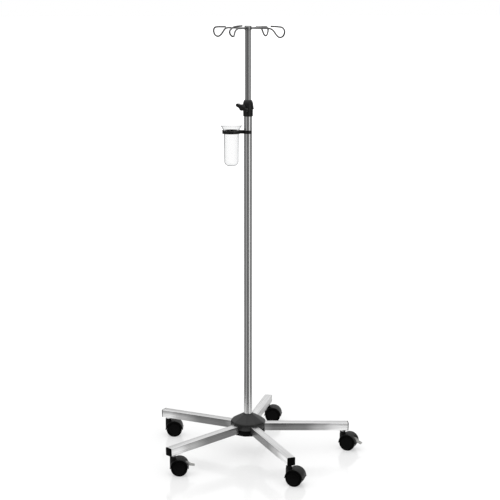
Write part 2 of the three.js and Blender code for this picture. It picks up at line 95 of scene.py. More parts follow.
FLOOR_SIZE = 120
FLOOR_GREY = 0.52
# The floor glows: dimmer near the stand, which is painted shade round it, and fully further out,
# which keeps the sweep white.
GLOW_IN_PAINTED_SHADE, PAINTED_SHADE_ENDS = 0.43, 0.4
GLOW_OF_SWEEP, SWEEP_STARTS = 1.0, 1.5
REFLECTED_GLOW_SIZE = (0.5, 0.37, 1)
REFLECTED_GLOW_DEPTH = 0.0006
# Degrees to the right of the camera, and how bright the studio is there.
STUDIO_CARDS = (
    (-180, 0.3), (-130, 0.2), (-80, 0.2), (-62, 0.34), (-50, 0.52), (-36, 0.45), (-22, 0.16),
    (0, 0.13), (22, 0.16), (31, 1.0), (40, 1.35), (52, 1.0), (62, 0.24), (90, 0.2), (118, 0.25),
    (136, 0.65), (165, 0.65), (180, 0.5),
)
CARDS_FADE_FROM, CARDS_FADE_TO = 0.19, 0.34
CEILING_GREY = 0.9


def grey(value):
    # A plain grey as a colour of three equal parts.
    return value, value, value


def add_node(tree, kind, **settings):
    # Each setting is one of the node's own properties or one of its inputs.
    node = tree.nodes.new(kind)
    for key, value in settings.items():
        if hasattr(node, key):
            setattr(node, key, value)
        else:
            node.inputs[key].default_value = value
    return node


def feed(tree, entry, value):
    # Gives a socket another node's output, a plain number or a colour.
    if isinstance(value, bpy.types.NodeSocket):
        tree.links.new(value, entry)
    else:
        entry.default_value = (*value, 1) if isinstance(value, tuple) else value


def set_inputs(tree, node, inputs):
    for name, value in inputs.items():
        feed(tree, node.inputs[name], value)


def maths(tree, operation, *values):
    # One step of arithmetic on numbers or other nodes' outputs.
    node = add_node(tree, "ShaderNodeMath", operation=operation)
    for entry, value in zip(node.inputs, values):
        feed(tree, entry, value)
    return node.outputs[0]


def colour_mix(tree, factor, a, b, blend="MIX"):
    # Goes from colour a to colour b as the factor rises.
    node = add_node(tree, "ShaderNodeMix", data_type="RGBA", blend_type=blend)
    set_inputs(tree, node, {"Factor": factor, "A": a, "B": b})
    return node.outputs["Result"]


def ramp_between(tree, factor, low, high, start=0.0, end=1.0, shape="LINEAR"):
    # Goes from low to high as the factor rises from start to end.
    spread = add_node(tree, "ShaderNodeMapRange", interpolation_type=shape)
    set_inputs(tree, spread, {"Value": factor, "From Min": start, "From Max": end,
                              "To Min": low, "To Max": high})
    return spread.outputs["Result"]


def grey_ramp(tree, factor, stops, blend="LINEAR"):
    # A ramp of greys, each stop being a place from 0 to 1 and a brightness.
    node = add_node(tree, "ShaderNodeValToRGB")
    ramp = node.color_ramp
    ramp.interpolation = blend
    ramp.elements.remove(ramp.elements[-1])
    for k, (at, shade) in enumerate(stops):
        stop = ramp.elements.new(at) if k else ramp.elements[0]
        stop.position = at
        stop.color = (*grey(shade), 1)
    tree.links.new(factor, node.inputs["Fac"])
    return node.outputs["Color"]


def new_material(name):
    # Gives the material, its node tree and its shader.
    material = bpy.data.materials.new(name)
    material.use_nodes = True
    return material, material.node_tree, material.node_tree.nodes["Principled BSDF"]


def studio_light(name, size, place, strength, toward):
    # A square soft box, facing the point it is aimed toward.
    lamp = bpy.data.lights.new(name, "AREA")
    lamp.size = size
    lamp.energy = strength
    light = bpy.data.objects.new(name, lamp)
    bpy.context.scene.collection.objects.link(light)
    light.location = place
    light.rotation_euler = (Vector(toward) - Vector(place)).to_track_quat("-Z", "Y").to_euler()
    return light


bpy.context.scene.view_settings.view_transform = "Standard"

bpy.ops.mesh.primitive_plane_add(size=FLOOR_SIZE, location=(pole.x, pole.y, 0))
floor = bpy.context.active_object
floor.name = "studio_floor"
floor.visible_glossy = False
floor.visible_transmission = False
floor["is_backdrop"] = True
floor_paint, paint, shader = new_material("studio_floor")
floor_at = add_node(paint, "ShaderNodeTexCoord")
from_pole = add_node(paint, "ShaderNodeVectorMath", operation="LENGTH")
paint.links.new(floor_at.outputs["Object"], from_pole.inputs[0])
# Painted shade: the floor's glow is weaker near the stand.
glow_with_painted_shade = ramp_between(paint, from_pole.outputs["Value"], GLOW_IN_PAINTED_SHADE, GLOW_OF_SWEEP,
                          PAINTED_SHADE_ENDS, SWEEP_STARTS, "SMOOTHSTEP")
set_inputs(paint, shader, {
    "Base Color": grey(FLOOR_GREY), "Roughness": 0.12, "Specular IOR Level": 0.4,
    "Emission Strength": 1, "Emission Color": glow_with_painted_shade})
floor.data.materials.append(floor_paint)

# A disc that glows just under the floor and is seen only in reflections: a painted reflection of lit
# floor for the legs and casters to mirror.
bpy.ops.mesh.primitive_circle_add(
    vertices=64, radius=1, fill_type="NGON", location=(pole.x, pole.y, -REFLECTED_GLOW_DEPTH),
    rotation=(0, 0, -LEG_1_TURN))
floor_glow_for_reflection = bpy.context.active_object
floor_glow_for_reflection.scale = REFLECTED_GLOW_SIZE
floor_glow_for_reflection.name = "floor_glow_for_reflection"
floor_glow_for_reflection.visible_camera = False
floor_glow_for_reflection.visible_diffuse = False
floor_glow_for_reflection.visible_transmission = False
floor_glow_for_reflection.visible_shadow = False
floor_glow_for_reflection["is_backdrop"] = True
reflection_glow_paint, paint, shader = new_material("floor_glow_for_reflection")
set_inputs(paint, shader, {"Base Color": grey(0), "Specular IOR Level": 0,
                           "Emission Color": grey(1), "Emission Strength": 1})
floor_glow_for_reflection.data.materials.append(reflection_glow_paint)

studio_light("top_light", size=4.4, place=(pole.x - 0.3, pole.y - 0.2, 3.6), strength=34,
             toward=(pole.x, pole.y, 0))
front_light = studio_light("front_light", size=2.4, place=(pole.x + 1.6, pole.y - 3.4, 2.2),
                           strength=16, toward=(pole.x, pole.y, 0.4))
front_light.visible_glossy = False

world = bpy.data.worlds.new("studio")
bpy.context.scene.world = world
world.use_nodes = True
sky = world.node_tree
sky.nodes.clear()
direction = add_node(sky, "ShaderNodeTexCoord")
turn = add_node(sky, "ShaderNodeMapping", Rotation=(0, 0, LEG_1_TURN))
apart = add_node(sky, "ShaderNodeSeparateXYZ")
sky.links.new(direction.outputs["Generated"], turn.inputs["Vector"])
sky.links.new(turn.outputs["Vector"], apart.inputs["Vector"])
minus_y = maths(sky, "MULTIPLY", apart.outputs["Y"], -1)
around = maths(sky, "ARCTAN2", apart.outputs["X"], minus_y)
share = ramp_between(sky, around, 0.0, 1.0, -math.pi, math.pi)
cards = grey_ramp(sky, share, [((at + 180) / 360, shade) for at, shade in STUDIO_CARDS])
height = ramp_between(sky, apart.outputs["Z"], 0.0, 1.0, CARDS_FADE_FROM, CARDS_FADE_TO)
room = colour_mix(sky, height, cards, grey(CEILING_GREY))
# The room behind the stand, and what shows through the clear cup, is white.
rays = add_node(sky, "ShaderNodeLightPath")
not_mirrored = maths(sky, "LESS_THAN", rays.outputs["Glossy Depth"], 0.5)
through = maths(sky, "MULTIPLY", rays.outputs["Is Transmission Ray"], not_mirrored)
seen = maths(sky, "MAXIMUM", rays.outputs["Is Camera Ray"], through)
glow = add_node(sky, "ShaderNodeBackground")
sky.links.new(colour_mix(sky, seen, room, grey(1)), glow.inputs["Color"])
world_out = add_node(sky, "ShaderNodeOutputWorld")
sky.links.new(glow.outputs[0], world_out.inputs["Surface"])

# ------------------------------------------------------------------------ legs
# Five lengths of thin-walled square stainless tube, brushed along their length
# and pushed onto the hub. They fall two degrees from the hub to the wheels.

MM = 0.001
LEG_COUNT = 5
LEG_SIDE = 25 * MM
LEG_WALL = 1.5 * MM
LEG_CORNER = 2.2 * MM
LEG_SLOPE = math.radians(2)
STEM_FROM_POLE = 304 * MM
STEM_ALONG_LEG = STEM_FROM_POLE / math.cos(LEG_SLOPE)
STEM_HOLE_R = 6.5 * MM
AT_POLE = Matrix.Translation((pole.x, pole.y, 0))
leg_low, leg_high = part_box("leg_1")
leg_start = (leg_low.x - pole.x) / math.cos(LEG_SLOPE)
leg_end = (leg_high.x - pole.x - LEG_SIDE / 2 * math.sin(LEG_SLOPE)) / math.cos(LEG_SLOPE)
leg_centre_height = (
    leg_high.z + leg_start * math.sin(LEG_SLOPE) - LEG_SIDE / 2 * math.cos(LEG_SLOPE)
)


def deselect():
    bpy.ops.object.select_all(action="DESELECT")


def only(piece):
    # Leaves this piece as the only one selected, and active.
    deselect()
    piece.select_set(True)
    bpy.context.view_layer.objects.active = piece


def new_piece(name):
    # Names the primitive that was just added.
    piece = bpy.context.active_object
    piece.name = name
    piece.data.name = name
    return piece


def settle(piece):
    # Puts the piece's place, turn and size into its mesh.
    only(piece)
    bpy.ops.object.transform_apply(location=True, rotation=True, scale=True)


def place(piece, matrix):
    piece.matrix_world = matrix
    settle(piece)


def pick(piece, kind, chosen):
    # Goes into edit mode with only the chosen edges or faces selected.
    only(piece)
    bpy.ops.object.mode_set(mode="EDIT")
    bpy.ops.mesh.select_mode(type=kind)
    bpy.ops.mesh.select_all(action="DESELECT")
    bpy.ops.object.mode_set(mode="OBJECT")
    for part in piece.data.edges if kind == "EDGE" else piece.data.polygons:
        part.select = chosen(part)
    bpy.ops.object.mode_set(mode="EDIT")


def bevelled_box(name, low, high, radius, segments=4, edges=None):
    # A block with its edges rounded; edges picks some of them by direction.
    deselect()
    low, high = Vector(low), Vector(high)
    bpy.ops.mesh.primitive_cube_add(size=1, location=(low + high) / 2)
    block = new_piece(name)
    block.scale = high - low
    settle(block)
    points = block.data.vertices

    def wanted(edge):
        along = (points[edge.vertices[0]].co - points[edge.vertices[1]].co).normalized()
        return edges is None or abs(along[edges]) > 0.9

    pick(block, "EDGE", wanted)
    bpy.ops.mesh.bevel(offset=radius, segments=segments, affect="EDGES")
    bpy.ops.object.mode_set(mode="OBJECT")
    return block


def drop_ends(piece, axis):
    # Opens a block into a tube by taking off the faces across its axis.
    pick(piece, "FACE", lambda face: abs(face.normal[axis]) > 0.9)
    bpy.ops.mesh.delete(type="FACE")
    bpy.ops.object.mode_set(mode="OBJECT")


def apply_modifier(piece, kind, **settings):
    only(piece)
    modifier = piece.modifiers.new(kind.lower(), kind)
    for key, value in settings.items():
        setattr(modifier, key, value)
    bpy.ops.object.modifier_apply(modifier=modifier.name)


def cut(piece, tool, operation="DIFFERENCE"):
    # Takes the tool's shape out of the piece, or joins it on with UNION.
    apply_modifier(piece, "BOOLEAN", object=tool, operation=operation, solver="EXACT")
    bpy.data.objects.remove(tool)


def ease_edges(piece, width, segments=3, angle=30):
    # Rounds every edge that is sharper than the angle.
    apply_modifier(piece, "BEVEL", width=width, segments=segments, limit_method="ANGLE",
                   angle_limit=math.radians(angle))


def smooth(piece, angle=35):
    only(piece)
    bpy.ops.object.shade_smooth_by_angle(angle=math.radians(angle))


def copy_of(piece, name):
    # A copy with its own mesh.
    twin = piece.copy()
    twin.data = piece.data.copy()
    twin.name = name
    twin.data.name = name
    bpy.context.scene.collection.objects.link(twin)
    return twin


def lengthwise_uv(piece, axis):
    # u runs along the piece's axis and v round it, both in metres.
    layer = piece.data.uv_layers.new(name="grain")
    across = [k for k in range(3) if k != axis]
    for face in piece.data.polygons:
        middle = face.center
        middle_angle = math.atan2(middle[across[1]], middle[across[0]])
        for corner in face.loop_indices:
            point = piece.data.vertices[piece.data.loops[corner].vertex_index].co
            radius = math.hypot(point[across[0]], point[across[1]])
            angle = math.atan2(point[across[1]], point[across[0]])
            angle = middle_angle + (angle - middle_angle + math.pi) % (2 * math.pi) - math.pi
            layer.data[corner].uv = (point[axis], angle * max(radius, MM))


def node_group(name, inputs, outputs):
    # Gives the group, and the nodes that hold its inputs and its outputs.
    group = bpy.data.node_groups.new(name, "ShaderNodeTree")
    for title, kind, value in inputs:
        made = group.interface.new_socket(title, in_out="INPUT", socket_type=kind)
        if value is not None:
            made.default_value = value
    for title, kind in outputs:
        group.interface.new_socket(title, in_out="OUTPUT", socket_type=kind)
    return group, group.nodes.new("NodeGroupInput"), group.nodes.new("NodeGroupOutput")


def stretched_noise(group, vector, stretch, detail):
    # Noise with this many features to a metre along each axis.
    scaled = add_node(group, "ShaderNodeVectorMath", operation="MULTIPLY")
    scaled.inputs[1].default_value = stretch
    noise = add_node(group, "ShaderNodeTexNoise", Scale=1.0, Detail=detail)
    group.links.new(vector, scaled.inputs[0])
    group.links.new(scaled.outputs[0], noise.inputs["Vector"])
    return noise.outputs["Fac"]


def brushing_group():
    # Fine scratches along u in two sizes, slow patches and long pale streaks.
    group, given, result = node_group(
        "brushing",
        [("Vector", "NodeSocketVector", None)],
        [("Lines", "NodeSocketFloat"), ("Patches", "NodeSocketFloat"),
         ("Streaks", "NodeSocketFloat")],
    )
    vector = given.outputs["Vector"]
    fine = maths(group, "MULTIPLY", stretched_noise(group, vector, (14, 2600, 2600), 3.0), 0.6)
    coarse = maths(group, "MULTIPLY", stretched_noise(group, vector, (5, 900, 900), 3.0), 0.4)
    group.links.new(maths(group, "ADD", fine, coarse), result.inputs["Lines"])
    patches = stretched_noise(group, vector, (9, 30, 30), 2.0)
    group.links.new(patches, result.inputs["Patches"])
    streaks = stretched_noise(group, vector, (2.5, 330, 330), 2.0)
    group.links.new(ramp_between(group, streaks, 0.0, 1.0, 0.36, 0.56), result.inputs["Streaks"])
    return group


BRUSHING = brushing_group()
# Noise seldom leaves this span.
NOISE_SPAN = (0.3, 0.7)


def brushed_steel(name, dark, light, roughness, anisotropy=0.6, scratch=0.00003):
    # Steel whose grain runs along u, with scratches this many metres deep.
    material, tree, shader = new_material(name)
    uv = add_node(tree, "ShaderNodeUVMap", uv_map="grain")
    lines = add_node(tree, "ShaderNodeGroup", node_tree=BRUSHING)
    tree.links.new(uv.outputs["UV"], lines.inputs["Vector"])
    steel = colour_mix(tree, lines.outputs["Lines"], dark, light)
    patches = lines.outputs["Patches"]
    rough = ramp_between(tree, patches, roughness - 0.05, roughness + 0.07, *NOISE_SPAN)
    tangent = add_node(tree, "ShaderNodeTangent", direction_type="UV_MAP", uv_map="grain")
    bump = add_node(tree, "ShaderNodeBump", Strength=0.05, Distance=scratch)
    tree.links.new(lines.outputs["Lines"], bump.inputs["Height"])
    set_inputs(tree, shader, {
        "Base Color": steel, "Roughness": rough, "Metallic": 1, "Anisotropic": anisotropy,
        "Tangent": tangent.outputs["Tangent"], "Normal": bump.outputs["Normal"]})
    return material, tree, shader, uv, lines


LEG_REACH = 0.32
# Shares of that reach at which the painted reflection on a leg's side changes its grey.
SIDE_REFLECTION_STOPS = (0.16, 0.25, 0.55, 0.75, 0.92)
STREAK_GREY = 0.72
PATCH_WAVE = 0.16


def leg_steel(name, top_dark, top_light, side_reflection_greys):
    # The sides get a painted reflection in their colour: dark greys near the hub stand in for its
    # shade mirrored there, and pale ones further out for the floor.
    material, tree, shader, uv, lines = brushed_steel(name, grey(top_dark), grey(top_light), 0.3)
    tops = shader.inputs["Base Color"].links[0].from_socket
    apart = add_node(tree, "ShaderNodeSeparateXYZ")
    tree.links.new(uv.outputs["UV"], apart.inputs["Vector"])
    along = ramp_between(tree, apart.outputs["X"], 0.0, 1.0, 0.0, LEG_REACH)
    shifted = maths(tree, "SUBTRACT", along, PATCH_WAVE / 2)
    wavy = maths(tree, "MULTIPLY_ADD", lines.outputs["Patches"], PATCH_WAVE, shifted)
    # Painted reflection: the sides' grey runs from dark near the hub to pale further out.
    sides = grey_ramp(tree, wavy, zip(SIDE_REFLECTION_STOPS, side_reflection_greys), "EASE")
    facing = add_node(tree, "ShaderNodeNewGeometry")
    upward = add_node(tree, "ShaderNodeSeparateXYZ")
    tree.links.new(facing.outputs["Normal"], upward.inputs["Vector"])
    is_top = ramp_between(tree, upward.outputs["Z"], 0.0, 1.0, 0.45, 0.8)
    with_painted_reflection = colour_mix(tree, is_top, sides, tops)
    streaks = colour_mix(tree, lines.outputs["Streaks"], grey(STREAK_GREY), grey(1))
    streaked = colour_mix(tree, 1, with_painted_reflection, streaks, "MULTIPLY")
    tree.links.new(streaked, shader.inputs["Base Color"])
    return material


LEG_STEEL = leg_steel("brushed_leg_steel", 0.74, 0.92, (0.3, 0.2, 0.24, 0.52, 0.97))
# A lighter copy of the leg steel, with painted light: the leg behind the pole faces the open side of
# the room, so its sides are painted pale.
LIT_LEG_STEEL = leg_steel("painted_lit_leg_steel", 0.97, 1, (0.8, 0.86, 0.92, 0.97, 1.0))
PAINTED_LIT_LEG = 2


def leg_angle(number):
    # Leg 1 lies along the X axis, and the others follow anticlockwise.
    return (number - 1) * 2 * math.pi / LEG_COUNT


def leg_place(number):
    # Takes a shape drawn along the X axis to where this leg is.
    lift = Matrix.Translation((0, 0, leg_centre_height))
    fall = Matrix.Rotation(LEG_SLOPE, 4, "Y")
    return AT_POLE @ Matrix.Rotation(leg_angle(number), 4, "Z") @ lift @ fall


def upright_rod(name, radius, low, high, sides=32):
    # A cylinder on the Z axis between two heights.
    deselect()
    bpy.ops.mesh.primitive_cylinder_add(
        vertices=sides, radius=radius, depth=high - low, location=(0, 0, (low + high) / 2))
    rod = new_piece(name)
    settle(rod)
    return rod


def finish_piece(piece, material, body, node):
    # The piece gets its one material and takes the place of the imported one.
    piece.data.materials.clear()
    piece.data.materials.append(material)
    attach(piece, body)
    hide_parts(node)


leg_model = bevelled_box(
    "leg_model", (leg_start, -LEG_SIDE / 2, -LEG_SIDE / 2), (leg_end, LEG_SIDE / 2, LEG_SIDE / 2),
    LEG_CORNER, 6, edges=0)
drop_ends(leg_model, 0)
apply_modifier(leg_model, "SOLIDIFY", thickness=LEG_WALL, offset=-1)
stem_hole = upright_rod("stem_hole", STEM_HOLE_R, -LEG_SIDE, 0)
place(stem_hole, Matrix.Translation((STEM_ALONG_LEG, 0, 0)))
cut(leg_model, stem_hole)
smooth(leg_model)
lengthwise_uv(leg_model, axis=0)
for number in range(1, LEG_COUNT + 1):
    tube = copy_of(leg_model, f"leg_tube_{number}")
    place(tube, leg_place(number))
    finish_piece(tube, LIT_LEG_STEEL if number == PAINTED_LIT_LEG else LEG_STEEL, "base",
                 f"leg_{number}")
bpy.data.objects.remove(leg_model)

# ------------------------------------------------------------------- leg plugs
# Black nylon plugs: a square flange covers the tube's end, and the part inside
# the tube grips the caster's stem.


def moulded_group():
    # The fine leathery grain of moulded plastic, with a faint dusty film.
    group, given, result = node_group(
        "moulded_grain",
        [("Vector", "NodeSocketVector", None), ("Grain size", "NodeSocketFloat", 2200.0)],
        [("Grain", "NodeSocketFloat"), ("Film", "NodeSocketFloat")],
    )
    grain = add_node(group, "ShaderNodeTexNoise", Detail=2.0, Roughness=0.6)
    group.links.new(given.outputs["Vector"], grain.inputs["Vector"])
    group.links.new(given.outputs["Grain size"], grain.inputs["Scale"])
    group.links.new(grain.outputs["Fac"], result.inputs["Grain"])
    film = add_node(group, "ShaderNodeTexNoise", Scale=38.0, Detail=4.0, Roughness=0.65)
    group.links.new(given.outputs["Vector"], film.inputs["Vector"])
    group.links.new(film.outputs["Fac"], result.inputs["Film"])
    return group


MOULDED = moulded_group()


def moulded_plastic(name, colour, dusty, roughness, bump_height=0.00003, grain_size=2200.0,
                    gloss=0.2):
    # Plastic in one colour that turns to a dustier one in patches.
    material, tree, shader = new_material(name)
    where = add_node(tree, "ShaderNodeTexCoord")
    grain = add_node(tree, "ShaderNodeGroup", node_tree=MOULDED)
    grain.inputs["Grain size"].default_value = grain_size
    tree.links.new(where.outputs["Object"], grain.inputs["Vector"])
    film = ramp_between(tree, grain.outputs["Film"], 0.0, 1.0, 0.35, 0.75)
    rough = ramp_between(tree, grain.outputs["Film"], roughness - 0.06, roughness + 0.08, *NOISE_SPAN)
    bump = add_node(tree, "ShaderNodeBump", Strength=0.5, Distance=bump_height)
    tree.links.new(grain.outputs["Grain"], bump.inputs["Height"])
    set_inputs(tree, shader, {
        "Base Color": colour_mix(tree, film, colour, dusty), "Roughness": rough,
        "Normal": bump.outputs["Normal"], "Specular IOR Level": gloss})
    return material


BLACK_NYLON = moulded_plastic("black_nylon", grey(0.0015), grey(0.006), 0.38, gloss=0.15)
PLUG_NYLON = moulded_plastic("plug_nylon", grey(0.0005), grey(0.002), 0.45, gloss=0.03)

FLANGE = 2.4 * MM
FLANGE_GAP = 0.3 * MM
INSERT_LENGTH = 34 * MM
PLUG_BORE_R = 5.8 * MM
insert_half = LEG_SIDE / 2 - LEG_WALL - FLANGE_GAP
flange_start = leg_end + FLANGE_GAP
cap_model = bevelled_box(
    "cap_model", (flange_start, -LEG_SIDE / 2, -LEG_SIDE / 2),
    (flange_start + FLANGE, LEG_SIDE / 2, LEG_SIDE / 2), LEG_CORNER, 6, edges=0)
insert = bevelled_box(
    "insert", (leg_end - INSERT_LENGTH, -insert_half, -insert_half),
    (flange_start + MM, insert_half, insert_half), MM, 3, edges=0)
cut(cap_model, insert, "UNION")
stem_bore = upright_rod("stem_bore", PLUG_BORE_R, -LEG_SIDE, LEG_SIDE)
place(stem_bore, Matrix.Translation((STEM_ALONG_LEG, 0, 0))
      @ Matrix.Rotation(-LEG_SLOPE, 4, "Y"))
cut(cap_model, stem_bore)
ease_edges(cap_model, 0.6 * MM, 3, 50)
smooth(cap_model)
for number in range(1, LEG_COUNT + 1):
    plug = copy_of(cap_model, f"leg_plug_{number}")
    place(plug, leg_place(number))
    finish_piece(plug, PLUG_NYLON, "base", f"end_cap_{number}")
bpy.data.objects.remove(cap_model)

# --------------------------------------------------------------------- casters
# Twin-wheel furniture casters, fifty millimetres across. A black nylon body is
# hood, web and stem socket in one moulding, and the wheels turn on a steel
# axle through the web. The plated stem is pressed into the leg's plug.

WHEEL_R = 25.4 * MM
WHEEL_INNER = 4.6 * MM
WHEEL_OUTER = 21.4 * MM
TRAIL = 20 * MM
HOOD_INNER = 26.2 * MM
HOOD_OUTER = 27.6 * MM
HOOD_MIDDLE = (HOOD_INNER + HOOD_OUTER) / 2
RIM_ROUNDING = 1.1 * MM
LIP_HALF = 1.3 * MM
LIP_INSET = 0.4 * MM
WEB_HALF = 3.6 * MM
BOSS_R = 9 * MM
BOSS_TOP = 57.8 * MM
NECK_HALF = BOSS_R * 0.62
STEM_R = 5.5 * MM
STEM_BOTTOM = 47.6 * MM
STEM_GAP = 0.3 * MM
AXLE_BORE_R = 3.3 * MM
LEVER_PIN = (13 * MM, 14 * MM)
# The way each caster points, in degrees, and how far the two levers are pressed.
TRAIL_TURNS = (-27, -12.5, -5.5, -5.5, -25)
LEVER_PRESS = {1: math.radians(12), 4: 0.0}
# Points nearer together than this are one point, and heights this near are level.
MERGE_GAP = 0.000005
LEVEL_GAP = 0.1 * MM


def drawn_line(name, points):
    # A chain of edges through the points, left in edit mode.
    deselect()
    bpy.ops.mesh.primitive_plane_add(size=MM, location=(0, 0, 0))
    piece = new_piece(name)
    bpy.ops.object.mode_set(mode="EDIT")
    bpy.ops.mesh.select_mode(type="VERT")
    bpy.ops.mesh.select_all(action="SELECT")
    bpy.ops.mesh.merge(type="CENTER")
    at = Vector(points[0])
    bpy.ops.transform.translate(value=at)
    for point in points[1:]:
        step = Vector(point) - at
        bpy.ops.mesh.extrude_region_move(TRANSFORM_OT_translate={"value": step})
        at = Vector(point)
    bpy.ops.mesh.select_all(action="SELECT")
    return piece


def face_outwards():
    # Turns all faces outwards and leaves edit mode.
    bpy.ops.mesh.select_all(action="SELECT")
    bpy.ops.mesh.normals_make_consistent(inside=False)
    bpy.ops.object.mode_set(mode="OBJECT")


def turned(name, profile, sides=96, closed=False):
    # A profile of (radius, height) points in millimetres, spun about the Z axis.
    chain = profile + profile[:1] if closed else profile
    piece = drawn_line(name, [(radius * MM, 0, height * MM) for radius, height in chain])
    bpy.ops.mesh.spin(steps=sides, angle=2 * math.pi, center=(0, 0, 0), axis=(0, 0, 1))
    bpy.ops.mesh.select_all(action="SELECT")
    bpy.ops.mesh.remove_doubles(threshold=MERGE_GAP)
    face_outwards()
    return piece


def slab(name, outline, low, high):
    # An outline of (x, y) points in metres, filled and drawn up from low to high.
    piece = drawn_line(name, [(x, y, low) for x, y in outline + outline[:1]])
    bpy.ops.mesh.remove_doubles(threshold=MERGE_GAP)
    bpy.ops.mesh.edge_face_add()
    bpy.ops.mesh.extrude_region_move(TRANSFORM_OT_translate={"value": (0, 0, high - low)})
    face_outwards()
    return piece


def arc(radius, start, end, steps, centre=(0, 0)):
    # Points along part of a circle, between two angles.
    return [
        (centre[0] + radius * math.cos(start + (end - start) * k / steps),
         centre[1] + radius * math.sin(start + (end - start) * k / steps))
        for k in range(steps + 1)
    ]


# Turns a slab drawn flat so that its outline stands in the X-Z plane.
STAND_UP = Matrix.Rotation(math.pi / 2, 4, "X")
AT_AXLE = Matrix.Translation((TRAIL, 0, WHEEL_R))


def hood_model(with_lever):
    # An arched hood with a lip along each end, a web between the wheels and a boss
    # for the stem. The hoods with a brake have room for its lever.
    shell = arc(HOOD_OUTER, 0, math.pi, 48) + arc(HOOD_INNER, math.pi, 0, 48)
    body = slab("hood", shell, -WHEEL_OUTER, WHEEL_OUTER)
    points = body.data.vertices

    def outer_rim(edge):
        a, b = (points[k].co for k in edge.vertices)
        outside = min(a.xy.length, b.xy.length) > HOOD_MIDDLE
        return outside and abs(a.z - b.z) < LEVEL_GAP and abs(a.z) > WHEEL_OUTER - LEVEL_GAP

    pick(body, "EDGE", outer_rim)
    bpy.ops.mesh.bevel(offset=RIM_ROUNDING, segments=4, affect="EDGES")
    bpy.ops.object.mode_set(mode="OBJECT")
    for side in (1, -1):
        centre = side * (HOOD_MIDDLE + 0.4 * MM)
        lip = bevelled_box(
            "lip", (centre - LIP_HALF, -1.2 * MM, -WHEEL_OUTER + LIP_INSET),
            (centre + LIP_HALF, 1.0 * MM, WHEEL_OUTER - LIP_INSET), 0.4 * MM, 2, edges=2)
        cut(body, lip, "UNION")
    web_outline = arc(HOOD_MIDDLE, 0, math.pi, 40) + arc(7 * MM, math.pi, 2 * math.pi, 16)
    cut(body, slab("web", web_outline, -WEB_HALF, WEB_HALF), "UNION")
    place(body, AT_AXLE @ STAND_UP)
    boss = upright_rod("boss", BOSS_R, WHEEL_R, BOSS_TOP, 48)
    neck = bevelled_box("neck", (-BOSS_R, -NECK_HALF, WHEEL_R + 2 * MM),
                        (2 * MM, NECK_HALF, BOSS_TOP - 8 * MM), 2 * MM, 4, edges=2)
    cut(boss, neck, "UNION")
    room_sides = 64
    last_corner = 2 * math.pi * (room_sides - 1) / room_sides
    wheel_room = slab(
        "wheel_room", arc(HOOD_MIDDLE, 0, last_corner, room_sides - 1), -40 * MM, 40 * MM)
    place(wheel_room, AT_AXLE @ STAND_UP)
    cut(boss, wheel_room)
    cut(body, boss, "UNION")
    cut(body, upright_rod("bore", STEM_R + STEM_GAP, STEM_BOTTOM - STEM_GAP, 100 * MM, 40))
    axle_bore = upright_rod("axle_bore", AXLE_BORE_R, -20 * MM, 20 * MM)
    place(axle_bore, AT_AXLE @ STAND_UP)
    cut(body, axle_bore)
    if with_lever:
        slot_room = bevelled_box("slot_room", (20 * MM, -9 * MM, 1.8 * MM),
                                 (34 * MM, 9 * MM, 18 * MM), MM, 3, edges=0)
        place(slot_room, AT_AXLE)
        cut(body, slot_room)
        for side in (1, -1):
            cheek_y = side * 3 * MM
            cheek_room = bevelled_box("cheek_room", (6.5 * MM, cheek_y - 1.2 * MM, -1.5 * MM),
                                      (26.8 * MM, cheek_y + 1.2 * MM, 21 * MM), 0.2 * MM, 1)
            place(cheek_room, AT_AXLE)
            cut(body, cheek_room)
    ease_edges(body, 0.45 * MM, 2, 40)
    smooth(body, 40)
    return body


def wheel_model(side):
    # A nylon wheel with a rounded tread, a raised ring and a hub cap on its face.
    inner, outer, r = WHEEL_INNER / MM, WHEEL_OUTER / MM, WHEEL_R / MM
    shoulder = 1.6
    bore_r, bore_end = AXLE_BORE_R / MM, 19.8
    tread = [(r - shoulder * (1 - math.sin(a)), outer - shoulder + shoulder * math.cos(a))
             for a in [math.radians(d) for d in (90, 60, 30, 0)]]
    back = [(0, bore_end), (bore_r, bore_end), (bore_r, inner), (8, inner), (9, inner + 0.8),
            (r - 4, inner + 0.8), (r - 2.2, inner), (r - 0.6, inner + 0.5), (r, inner + 1.4)]
    face = [(22.4, outer), (21.6, outer - 1.3), (20.9, outer - 1.3), (19.8, outer + 0.3),
            (18.6, outer + 0.3), (17.0, outer - 1.4), (9.2, outer - 1.2), (8.4, outer - 0.5),
            (0, outer - 0.2)]
    wheel = turned("wheel_model", back + tread + face)
    place(wheel, AT_AXLE @ Matrix.Rotation(-side * math.pi / 2, 4, "X"))
    smooth(wheel, 32)
    return wheel


def in_metres(points):
    # Takes (x, z) points from millimetres to metres.
    return [(x * MM, z * MM) for x, z in points]


